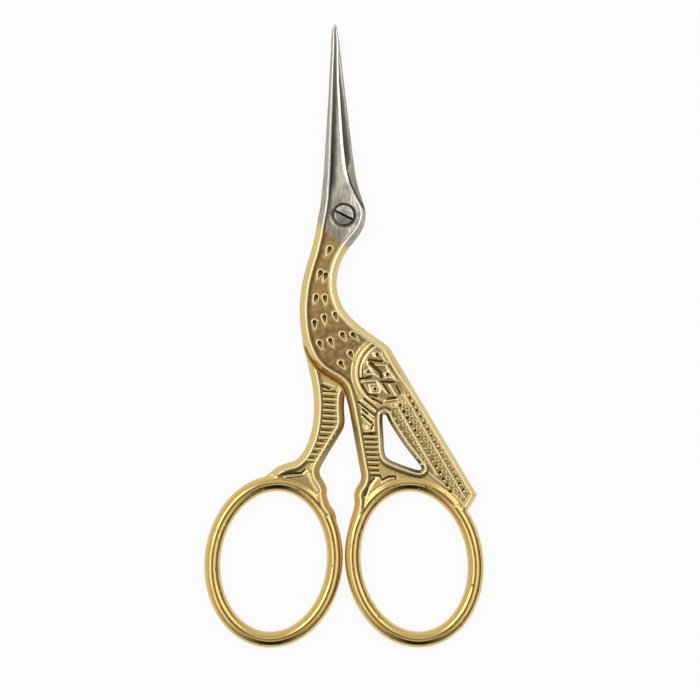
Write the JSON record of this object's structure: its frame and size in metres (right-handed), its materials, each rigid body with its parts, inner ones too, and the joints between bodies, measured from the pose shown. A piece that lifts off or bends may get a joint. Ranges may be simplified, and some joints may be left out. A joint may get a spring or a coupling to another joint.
{
  "type": "embroidery scissors",
  "caption": "Small bird-shaped embroidery scissors: two lapped steel halves crossing at a slotted screw, with gold plated handles and oval finger rings.",
  "frame": {"origin": "on the pivot axis, in the plane that the closed scissors rest on", "axes": "+Y from the rings to the tips, +Z along the pivot axis away from the resting plane towards the screw head, +X to the side of the tail"},
  "size_m": [0.0517, 0.1153, 0.0032],
  "materials": {
    "bare_steel": "satin ground and lightly polished steel",
    "gold_plate": "polished gold plating over forged steel",
    "screw_steel": "turned steel with a darkened slot"
  },
  "bodies": {
    "back_half": {"back_blade": "bare_steel", "back_handle": "gold_plate", "pivot_screw": "screw_steel"},
    "front_half": {"front_blade": "bare_steel", "front_handle": "gold_plate"}
  },
  "joints": [
    {"name": "pivot", "type": "hinge", "parent": "back_half", "child": "front_half", "pos_m": [0, 0, 0], "axis": [0, 0, 1], "range_deg": [0, 75]}
  ]
}
